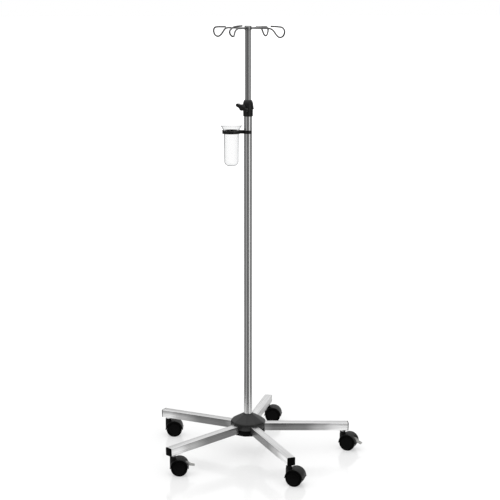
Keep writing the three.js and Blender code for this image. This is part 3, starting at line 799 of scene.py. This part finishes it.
def lever_model(name, press):
    # Two cheeks on the pin carry a thin pedal with grooves across its slope.
    groove_count, groove_step, groove_width, groove_depth = 4, 2.5, 1.1, 0.35
    slope_start, slope_top, slope = 21, -6.0, 0.217
    cheek = [(-4, -4), (4, -5.5), (15.5, -8), (15.5, 0.5), (4, 4), (0, 4.6), (-4, 4)]
    pedal = [(15.1, -8), (19, -8.8), (33, -10.2), (33, -8.6), (21, -6.0), (15.1, -1.5)]
    lever = slab(name, in_metres(pedal), -8 * MM, 8 * MM)
    for side in (1, -1):
        cheek_y = side * 3.1 * MM
        cut(lever, slab("cheek", in_metres(cheek), cheek_y - MM, cheek_y + MM), "UNION")
    cut(lever, upright_rod("pin_bore", 1.8 * MM, -5 * MM, 5 * MM, 24))
    for number in range(groove_count):
        at = (22.5 + groove_step * number) * MM
        top = (slope_top - (at / MM - slope_start) * slope) * MM
        groove = bevelled_box(
            "groove", (at, top - groove_depth * MM, -7 * MM),
            (at + groove_width * MM, top + 2 * MM, 7 * MM), 0.2 * MM, 1, edges=2)
        cut(lever, groove)
    ease_edges(lever, 0.35 * MM, 2, 40)
    smooth(lever, 40)
    place(lever, AT_AXLE @ Matrix.Translation((LEVER_PIN[0], 0, LEVER_PIN[1]))
          @ Matrix.Rotation(press, 4, "Y") @ STAND_UP)
    return lever


def mottled_metal(name, dark, light, smoothest, roughest, scale, detail):
    # Plated or drawn metal whose colour and gloss vary a little from place to place.
    material, tree, shader = new_material(name)
    where = add_node(tree, "ShaderNodeTexCoord")
    blotch = add_node(tree, "ShaderNodeTexNoise", Scale=scale, Detail=detail)
    tree.links.new(where.outputs["Object"], blotch.inputs["Vector"])
    metal = colour_mix(tree, blotch.outputs["Fac"], dark, light)
    rough = ramp_between(tree, blotch.outputs["Fac"], smoothest, roughest, *NOISE_SPAN)
    set_inputs(tree, shader, {"Base Color": metal, "Roughness": rough, "Metallic": 1})
    return material


def finish_node(name, material):
    # A hidden piece keeps its own shape and gets only its material.
    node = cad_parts[name]
    node.data.materials.clear()
    node.data.materials.append(material)


PLATED_STEEL = mottled_metal("plated_steel", (0.5, 0.5, 0.51), grey(0.72), 0.22, 0.4, 160.0, 4.0)
WHEEL_NYLON = moulded_plastic("wheel_nylon", grey(0.0004), grey(0.0012), 0.3, 0.00001, 3000.0, 0.055)
LEVER_GREY = moulded_plastic("lever_grey", (0.36, 0.36, 0.35), (0.27, 0.27, 0.26), 0.45, gloss=0.4)

stem_model = turned("stem_model", [
    (0, 47.6), (4.6, 47.6), (5.5, 48.5), (5.5, 58.2), (7.6, 58.2), (8, 58.6), (8, 61.4),
    (7.6, 61.8), (5.5, 61.8), (5.5, 80), (4.5, 81), (0, 81)], 48)
smooth(stem_model, 30)
axle_model = turned("axle_model", [
    (0, -19.4), (2.6, -19.4), (3, -19), (3, 19), (2.6, 19.4), (0, 19.4)], 32)
place(axle_model, AT_AXLE @ STAND_UP)
smooth(axle_model, 30)
hoods = {False: hood_model(False), True: hood_model(True)}
wheels = {"left": wheel_model(1), "right": wheel_model(-1)}
for number in range(1, LEG_COUNT + 1):
    angle = leg_angle(number)
    stem_at = Matrix.Translation((pole.x + STEM_FROM_POLE * math.cos(angle),
                                  pole.y + STEM_FROM_POLE * math.sin(angle), 0))
    trailing = stem_at @ Matrix.Rotation(math.radians(TRAIL_TURNS[number - 1]), 4, "Z")
    swivel = f"caster_{number}"
    stem = copy_of(stem_model, f"stem_{number}")
    place(stem, stem_at)
    finish_piece(stem, PLATED_STEEL, "base", f"caster_stem_{number}")
    hood = copy_of(hoods[number in LEVER_PRESS], f"hood_{number}")
    place(hood, trailing)
    finish_piece(hood, BLACK_NYLON, swivel, f"caster_hood_{number}")
    axle = copy_of(axle_model, f"axle_{number}")
    place(axle, trailing)
    finish_piece(axle, PLATED_STEEL, swivel, f"caster_axle_{number}")
    for side in wheels:
        wheel = copy_of(wheels[side], f"{side}_wheel_{number}")
        place(wheel, trailing)
        finish_piece(wheel, WHEEL_NYLON, f"wheel_{side}_{number}",
                     f"wheel_{side}_{number}")
    if number in LEVER_PRESS:
        lever = lever_model(f"lever_{number}", LEVER_PRESS[number])
        place(lever, trailing)
        finish_piece(lever, LEVER_GREY, f"brake_{number}", f"brake_lever_{number}")
        finish_node(f"brake_pin_{number}", PLATED_STEEL)
for spare in [stem_model, axle_model, *hoods.values(), *wheels.values()]:
    bpy.data.objects.remove(spare)

# ------------------------------------------------------------------------- hub
# Two black moulded covers close over a cast hub: a cone-shaped top that runs up
# to a collar round the pole, and a pan under it. Both are ten-sided with blunt
# corners, with a window for each leg in every other side.

CLEARANCE = 0.4 * MM
COVER_WALL = 2
COVER_SPLIT = 84
# The top cover's side as (distance to each flat, height) in millimetres.
COVER_LEVELS = [(53.2, COVER_SPLIT), (53.4, 94), (53.4, 101.4), (53.1, 103), (52.3, 104.5),
                (50.6, 106), (48, 107.9), (45, 109.7), (18, 125.4)]
POLE_HOLE_R = 12.8
# Height in metres and count per metre of the larger grain on the big mouldings.
LARGE_GRAIN = (0.00004, 1400.0)


def ten_sided_loft(name, levels):
    # Ten corners in a ring, drawn up from level to level, then rounded.
    deselect()
    sides = 2 * LEG_COUNT
    stretch = 1 / math.cos(math.pi / sides)
    first, start = levels[0]
    bpy.ops.mesh.primitive_circle_add(
        vertices=sides, radius=first * MM * stretch, location=(0, 0, start * MM),
        rotation=(0, 0, math.pi / sides), fill_type="NGON")
    piece = new_piece(name)
    settle(piece)
    bpy.ops.object.mode_set(mode="EDIT")
    bpy.ops.mesh.select_mode(type="FACE")
    bpy.ops.mesh.select_all(action="SELECT")
    for (low_r, low_z), (high_r, high_z) in zip(levels, levels[1:]):
        scale = high_r / low_r
        bpy.ops.mesh.extrude_region_move(
            TRANSFORM_OT_translate={"value": (0, 0, (high_z - low_z) * MM)})
        bpy.ops.transform.resize(value=(scale, scale, 1), center_override=(0, 0, high_z * MM))
    face_outwards()
    points = piece.data.vertices

    def rises(edge):
        a, b = (points[k].co for k in edge.vertices)
        return abs(a.z - b.z) > LEVEL_GAP

    pick(piece, "EDGE", rises)
    bpy.ops.mesh.bevel(offset_type="PERCENT", offset_pct=16, segments=6, affect="EDGES")
    bpy.ops.object.mode_set(mode="OBJECT")
    return piece


def cut_leg_windows(cover):
    # Opens the cover round each leg, while it is still drawn on the Z axis.
    half = LEG_SIDE / 2 + CLEARANCE
    for number in range(1, LEG_COUNT + 1):
        window = bevelled_box("window", (0, -half, -half), (0.2, half, half), LEG_CORNER, 4, edges=0)
        place(window, Matrix.Translation((-pole.x, -pole.y, 0)) @ leg_place(number))
        cut(cover, window)


upper = ten_sided_loft("hub_dome", COVER_LEVELS)
cover_collar = turned("cover_collar", [
    (0, 119), (16.8, 119), (16.8, 125.8), (16.4, 126.7), (15.6, 127), (0, 127)])
cut(upper, cover_collar, "UNION")
inner_levels = [(COVER_LEVELS[0][0] - COVER_WALL, COVER_SPLIT - 1)]
inner_levels += [(r - COVER_WALL, z - 0.8 * COVER_WALL) for r, z in COVER_LEVELS[1:]]
cut(upper, ten_sided_loft("inside", inner_levels))
cut(upper, upright_rod("pole_hole", POLE_HOLE_R * MM, 80 * MM, 130 * MM, 96))
cut_leg_windows(upper)
ease_edges(upper, 0.5 * MM, 2, 32)
smooth(upper, 28)
place(upper, AT_POLE)
HUB_PLASTIC = moulded_plastic("hub_plastic", grey(0.003), grey(0.01), 0.33, *LARGE_GRAIN, 0.42)
# The pan is a darker, almost glossless copy of the hub plastic: painted shade, as the pan sits in the
# cover's shadow.
SHADED_PAN_PLASTIC = moulded_plastic("shaded_pan_plastic", grey(0.001), grey(0.004), 0.42, *LARGE_GRAIN, 0.05)
finish_piece(upper, HUB_PLASTIC, "base", "hub_upper_cover")

pan_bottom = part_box("hub_lower_cover")[0].z / MM
lower = ten_sided_loft("hub_pan", [
    (50.4, pan_bottom), (51.8, pan_bottom + 0.5), (52.4, pan_bottom + 1.8), (53.2, 83.7)])
cut(lower, ten_sided_loft("pan_inside", [(50.4, pan_bottom + COVER_WALL), (51.2, 85)]))
cut_leg_windows(lower)
ease_edges(lower, 0.5 * MM, 2, 32)
smooth(lower, 28)
place(lower, AT_POLE)
finish_piece(lower, SHADED_PAN_PLASTIC, "base", "hub_lower_cover")


def cast_aluminium():
    # The rough grey skin of a sand casting.
    material, tree, shader = new_material("cast_aluminium")
    where = add_node(tree, "ShaderNodeTexCoord")
    skin = add_node(tree, "ShaderNodeTexNoise", Scale=900.0, Detail=5.0)
    tree.links.new(where.outputs["Object"], skin.inputs["Vector"])
    skin_grey = colour_mix(tree, skin.outputs["Fac"], (0.32, 0.32, 0.33), (0.5, 0.5, 0.51))
    bump = add_node(tree, "ShaderNodeBump", Strength=0.6, Distance=0.0001)
    tree.links.new(skin.outputs["Fac"], bump.inputs["Height"])
    set_inputs(tree, shader, {"Base Color": skin_grey, "Roughness": 0.55, "Metallic": 0.9,
                              "Normal": bump.outputs["Normal"]})
    return material


finish_node("hub_core", cast_aluminium())
for name in ("pole_bolt", "bolt_washer", "pole_insert"):
    finish_node(name, PLATED_STEEL)

# ------------------------------------------------------------------------ pole
# A 25 mm stainless tube stands in the hub, and an 18 mm tube slides in it on a
# nylon guide bush. Both are brushed along their length.

POLE_R, POLE_WALL = 12.5, 1.5
MAST_R, MAST_WALL = 9, 1.2
TUBE_LIP = 0.4


def tube_piece(name, node, radius, wall, material, body):
    # A length of round tube with its ends' edges taken off.
    low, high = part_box(node)
    bottom, top, lip = low.z / MM, high.z / MM, TUBE_LIP
    piece = turned(name, [
        (radius - wall, bottom + lip), (radius - wall + lip, bottom), (radius - lip, bottom),
        (radius, bottom + lip), (radius, top - lip), (radius - lip, top),
        (radius - wall + lip, top), (radius - wall, top - lip),
    ], closed=True)
    lengthwise_uv(piece, axis=2)
    smooth(piece, 35)
    place(piece, AT_POLE)
    finish_piece(piece, material, body, node)


POLE_STEEL = brushed_steel("brushed_pole_steel", grey(0.61), grey(0.73), 0.18, 0.2, 0.00001)[0]
MAST_STEEL = brushed_steel("brushed_mast_steel", grey(0.39), grey(0.45), 0.13, 0.0, 0.000004)[0]
tube_piece("pole_tube", "lower_tube", POLE_R, POLE_WALL, POLE_STEEL, "base")
tube_piece("mast_tube", "upper_tube", MAST_R, MAST_WALL, MAST_STEEL, "mast")
finish_node("guide_bush", BLACK_NYLON)

# ----------------------------------------------------------------------- clamp
# A black moulded collar caps the lower tube. A wing screw through its side
# presses a pad on the upper tube to hold it at its height.

SCREW_HEIGHT = 1093
SCREW_TURN = math.radians(219.5)
PAD_BORE_R, PAD_BORE_END = 4.4, 13.8
SCREW_BORE_R, SCREW_BORE_END = 3.3, 25
SCREW_HEAD = 18.2
WING_TURN = math.radians(20)
WING_SPAN_HALF, WING_WIDTH_HALF = 23.5 * MM, 5 * MM
COLLAR_STEP, COLLAR_BORE = 1087.3, 9.3
clamp_low, clamp_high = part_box("clamp_collar")
bottom, top = clamp_low.z / MM, clamp_high.z / MM


def pointing_out(height, angle):
    # Lays a rod that is drawn up the Z axis so that it points away from the pole.
    return (Matrix.Translation((0, 0, height * MM)) @ Matrix.Rotation(angle, 4, "Z")
            @ Matrix.Rotation(math.pi / 2, 4, "Y"))


collar = turned("clamp_body", [
    (POLE_HOLE_R, bottom), (13.6, bottom), (14.6, bottom + 0.8), (15, bottom + 2.4), (15, 1084.8),
    (15.6, 1085.6), (17.0, 1086.3), (17.6, 1087.6), (17.5, 1089), (15.1, 1105), (14.7, 1107),
    (13.6, 1110.2), (11.6, top - 0.8), (10.8, top), (9.7, top), (COLLAR_BORE, top - 0.4),
    (COLLAR_BORE, COLLAR_STEP), (POLE_HOLE_R, COLLAR_STEP),
], closed=True)
along_screw = pointing_out(SCREW_HEIGHT, SCREW_TURN)
for radius, end in ((PAD_BORE_R, PAD_BORE_END), (SCREW_BORE_R, SCREW_BORE_END)):
    bore = upright_rod("bore", radius * MM, 5 * MM, end * MM)
    place(bore, along_screw)
    cut(collar, bore)
smooth(collar, 30)
place(collar, AT_POLE)
CLAMP_PLASTIC = moulded_plastic("clamp_plastic", grey(0.002), grey(0.008), 0.32, *LARGE_GRAIN, 0.3)
finish_piece(collar, CLAMP_PLASTIC, "base", "clamp_collar")

tip = WING_SPAN_HALF - WING_WIDTH_HALF
wing_outline = (arc(WING_WIDTH_HALF, -math.pi / 2, math.pi / 2, 10, (tip, 0))
                + arc(WING_WIDTH_HALF, math.pi / 2, 1.5 * math.pi, 10, (-tip, 0)))
wing = slab("wing", wing_outline, (SCREW_HEAD + 3) * MM, (SCREW_HEAD + 12) * MM)
place(wing, Matrix.Rotation(math.pi / 2 - WING_TURN, 4, "Z"))
knob = turned("wing_grip", [
    (0, SCREW_HEAD), (8.5, SCREW_HEAD), (9.7, SCREW_HEAD + 1.5), (9.7, SCREW_HEAD + 10),
    (9.2, SCREW_HEAD + 11.6), (7.5, SCREW_HEAD + 13), (0, SCREW_HEAD + 13)], 64)
cut(knob, wing, "UNION")
cut(knob, upright_rod("socket", SCREW_BORE_R * MM, 0, (SCREW_HEAD + 9) * MM))
ease_edges(knob, 0.9 * MM, 3, 45)
smooth(knob, 35)
place(knob, AT_POLE @ along_screw)
finish_piece(knob, CLAMP_PLASTIC, "screw", "wing_knob")
finish_node("clamp_screw", PLATED_STEEL)
finish_node("pressure_pad", LEVER_GREY)

# -------------------------------------------------------------- cup and holder
# A one-piece black nylon holder snaps round the pole with a C-shaped clip and
# carries the clear cup in a ring, under the cup's flared rim.

HOLDER_TURN = math.radians(174.5)
CUP_OFFSET = 50.6 * MM
RING_OUTER, RING_INNER = 27.8 * MM, 23.3 * MM
CLIP_R = 15.8 * MM
ARM_HALF = 6.5 * MM
holder_low, holder_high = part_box("cup_holder")
holder_bottom, holder_top = holder_low.z, holder_high.z
below, above = holder_bottom - 2 * MM, holder_top + 2 * MM
cup_axis = Matrix.Translation((CUP_OFFSET, 0, 0))
holder_place = AT_POLE @ Matrix.Rotation(HOLDER_TURN, 4, "Z")

holder = upright_rod("clip_holder", RING_OUTER, holder_bottom, holder_top, 96)
place(holder, cup_axis)
cut(holder, upright_rod("clip", CLIP_R, holder_bottom, holder_top, 72), "UNION")
arm = bevelled_box("arm", (8 * MM, -ARM_HALF, holder_bottom), (30 * MM, ARM_HALF, holder_top),
                   0.3 * MM, 2)
cut(holder, arm, "UNION")
ring_hole = upright_rod("ring_hole", RING_INNER, below, above, 96)
place(ring_hole, cup_axis)
cut(holder, ring_hole)
cut(holder, upright_rod("pole_room", POLE_HOLE_R * MM, below, above, 72))
cut(holder, slab("mouth", in_metres([(0, 0), (-30, 33), (-30, -33)]), below, above))
ease_edges(holder, 0.8 * MM, 3, 40)
smooth(holder, 35)
place(holder, holder_place)
finish_piece(holder, CLAMP_PLASTIC, "holder", "cup_holder")


def clear_plastic():
    # Clear plastic with a faint haze, and painted shade that turns it greyer where it is seen edge
    # on.
    material, tree, shader = new_material("clear_styrene")
    where = add_node(tree, "ShaderNodeTexCoord")
    haze = add_node(tree, "ShaderNodeTexNoise", Scale=60.0, Detail=3.0)
    tree.links.new(where.outputs["Object"], haze.inputs["Vector"])
    rough = ramp_between(tree, haze.outputs["Fac"], 0.0, 0.04, *NOISE_SPAN)
    edge_on = add_node(tree, "ShaderNodeLayerWeight", Blend=0.3)
    painted_edge_shade = colour_mix(tree, edge_on.outputs["Facing"], grey(1), (0.8, 0.81, 0.82))
    set_inputs(tree, shader, {"Base Color": painted_edge_shade, "Roughness": rough,
                              "Transmission Weight": 1, "IOR": 1.11})
    return material


CUP_R, CUP_WALL = 21.9, 1.6
OUTER_CORNER, INNER_CORNER = 14, 12.4
cup_low, cup_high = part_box("drip_cup")
cup_bottom, cup_top = cup_low.z / MM, cup_high.z / MM
seat = holder_top / MM + 0.3
corner_height = cup_bottom + OUTER_CORNER
outer_corner = arc(OUTER_CORNER, -math.pi / 2, 0, 10, (CUP_R - OUTER_CORNER, corner_height))
inner_corner = arc(INNER_CORNER, 0, -math.pi / 2, 10,
                   (CUP_R - CUP_WALL - INNER_CORNER, corner_height))
cup = turned("clear_cup", [(0, cup_bottom)] + outer_corner + [
    (22.5, seat - 0.6), (23.6, seat + 0.3), (26.5, seat + 3.4), (30.4, cup_top - 3),
    (31.6, cup_top - 1.5), (32.2, cup_top - 1), (32.2, cup_top - 0.2), (31.9, cup_top),
    (31, cup_top), (30.4, cup_top - 0.7), (28.8, cup_top - 2.6), (25, seat + 4.2),
    (22.4, seat + 1), (20.9, seat - 1.5),
] + inner_corner + [(0, cup_bottom + CUP_WALL)])
smooth(cup, 50)
place(cup, holder_place @ cup_axis)
finish_piece(cup, clear_plastic(), "cup", "drip_cup")

# -------------------------------------------------------------- head and hooks
# A small plated steel head plugs the upper tube and holds four wire hooks.
# Each wire runs out level, dips to a loop, and turns back beside itself.

# Each hook's direction, how much further it reaches, how deep its loop hangs, how
# high its end turns back, and how far the loop leans sideways at its inner leg,
# its bottom and its outside.
HOOKS = [
    (-33.5, 3, 1, 5.4, (0, 0, 0)),
    (53.5, 0, 1, 1, (0, 0, 0)),
    (146.5, -1, 1, 3, (0, 0, 0)),
    (239.5, 0, 0.82, 8, (-2.5, 1, -3.6)),
]
WIRE_R = 2.5 * MM
ARM_HEIGHT = 1328


def turned_nickel():
    # Fine rings left by the lathe, under a dark plating.
    material, tree, shader = new_material("turned_nickel")
    where = add_node(tree, "ShaderNodeTexCoord")
    apart = add_node(tree, "ShaderNodeSeparateXYZ")
    tree.links.new(where.outputs["Object"], apart.inputs["Vector"])
    rings = add_node(tree, "ShaderNodeTexNoise", noise_dimensions="1D", Scale=2400.0, Detail=2.0)
    tree.links.new(apart.outputs["Z"], rings.inputs["W"])
    nickel = colour_mix(tree, rings.outputs["Fac"], grey(0.24), grey(0.4))
    rough = ramp_between(tree, rings.outputs["Fac"], 0.14, 0.26, *NOISE_SPAN)
    set_inputs(tree, shader, {"Base Color": nickel, "Roughness": rough, "Metallic": 1})
    return material


head_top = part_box("hook_head")[1].z / MM
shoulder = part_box("upper_tube")[1].z / MM + 0.3
head = turned("hook_cap", [
    (0, shoulder - 25), (7, shoulder - 25), (7.4, shoulder - 24.4), (7.4, shoulder),
    (10, shoulder), (10.8, shoulder + 0.8), (10.8, head_top - 2.2), (10.3, head_top - 1.0),
    (9.2, head_top), (0, head_top)], 72)
for hook_turn, *_ in HOOKS:
    seat_bore = upright_rod("seat_bore", WIRE_R + 0.3 * MM, 5.2 * MM, 12.8 * MM, 24)
    place(seat_bore, pointing_out(ARM_HEIGHT, math.radians(hook_turn)))
    cut(head, seat_bore)
smooth(head, 35)
place(head, AT_POLE)
finish_piece(head, turned_nickel(), "mast", "hook_head")

CHROME = mottled_metal("chrome_wire", grey(0.1), grey(0.24), 0.14, 0.26, 240.0, 3.0)
for number, (hook_turn, far, depth, rise, (inner, low, out)) in enumerate(HOOKS, 1):
    route = [
        (5.5, 0, 0), (30, 0, 0), (52, 0, 0), (72, inner / 4, -0.5),
        (79 + far / 2, inner * 0.7, -3.5), (86 + far, inner, -11.5 * depth),
        (94 + far, (inner + low) / 2, -21 * depth), (103 + far, low, -25.7 * depth),
        (111.5 + far, (low + out) / 2, -23.5 * depth), (117.5 + far, out * 0.9, -15.5 * depth),
        (118.5 + far, out, -7 * depth), (114 + far, out * 0.8 + 1.5, 0),
        (107 + far, out * 0.4 + 4, rise * 0.65), (97, 7, rise * 0.9), (84, 10, rise),
        (70, 13, rise + 0.3),
    ]
    path = bpy.data.curves.new(f"wire_{number}", "CURVE")
    path.dimensions = "3D"
    path.bevel_depth = WIRE_R
    path.bevel_resolution = 6
    path.resolution_u = 12
    path.use_fill_caps = True
    spline = path.splines.new("BEZIER")
    spline.bezier_points.add(len(route) - 1)
    for point, (x, y, z) in zip(spline.bezier_points, route):
        point.co = (x * MM, y * MM, z * MM)
        point.handle_left_type = point.handle_right_type = "AUTO"
    wire = bpy.data.objects.new(f"wire_hook_{number}", path)
    bpy.context.scene.collection.objects.link(wire)
    only(wire)
    bpy.ops.object.convert(target="MESH")
    wire = bpy.context.active_object
    wire.name = f"wire_hook_{number}"
    bpy.ops.object.mode_set(mode="EDIT")
    bpy.ops.mesh.select_all(action="SELECT")
    bpy.ops.mesh.remove_doubles(threshold=MERGE_GAP)
    face_outwards()
    ease_edges(wire, 1.2 * MM, 3, 60)
    smooth(wire, 40)
    place(wire, Matrix.Translation((pole.x, pole.y, ARM_HEIGHT * MM))
          @ Matrix.Rotation(math.radians(hook_turn), 4, "Z"))
    finish_piece(wire, CHROME, "mast", f"hook_{number}")

# ----------------------------------------------------------------------- sizes
# The stand's outer size in metres, as it is finished here.

low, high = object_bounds()
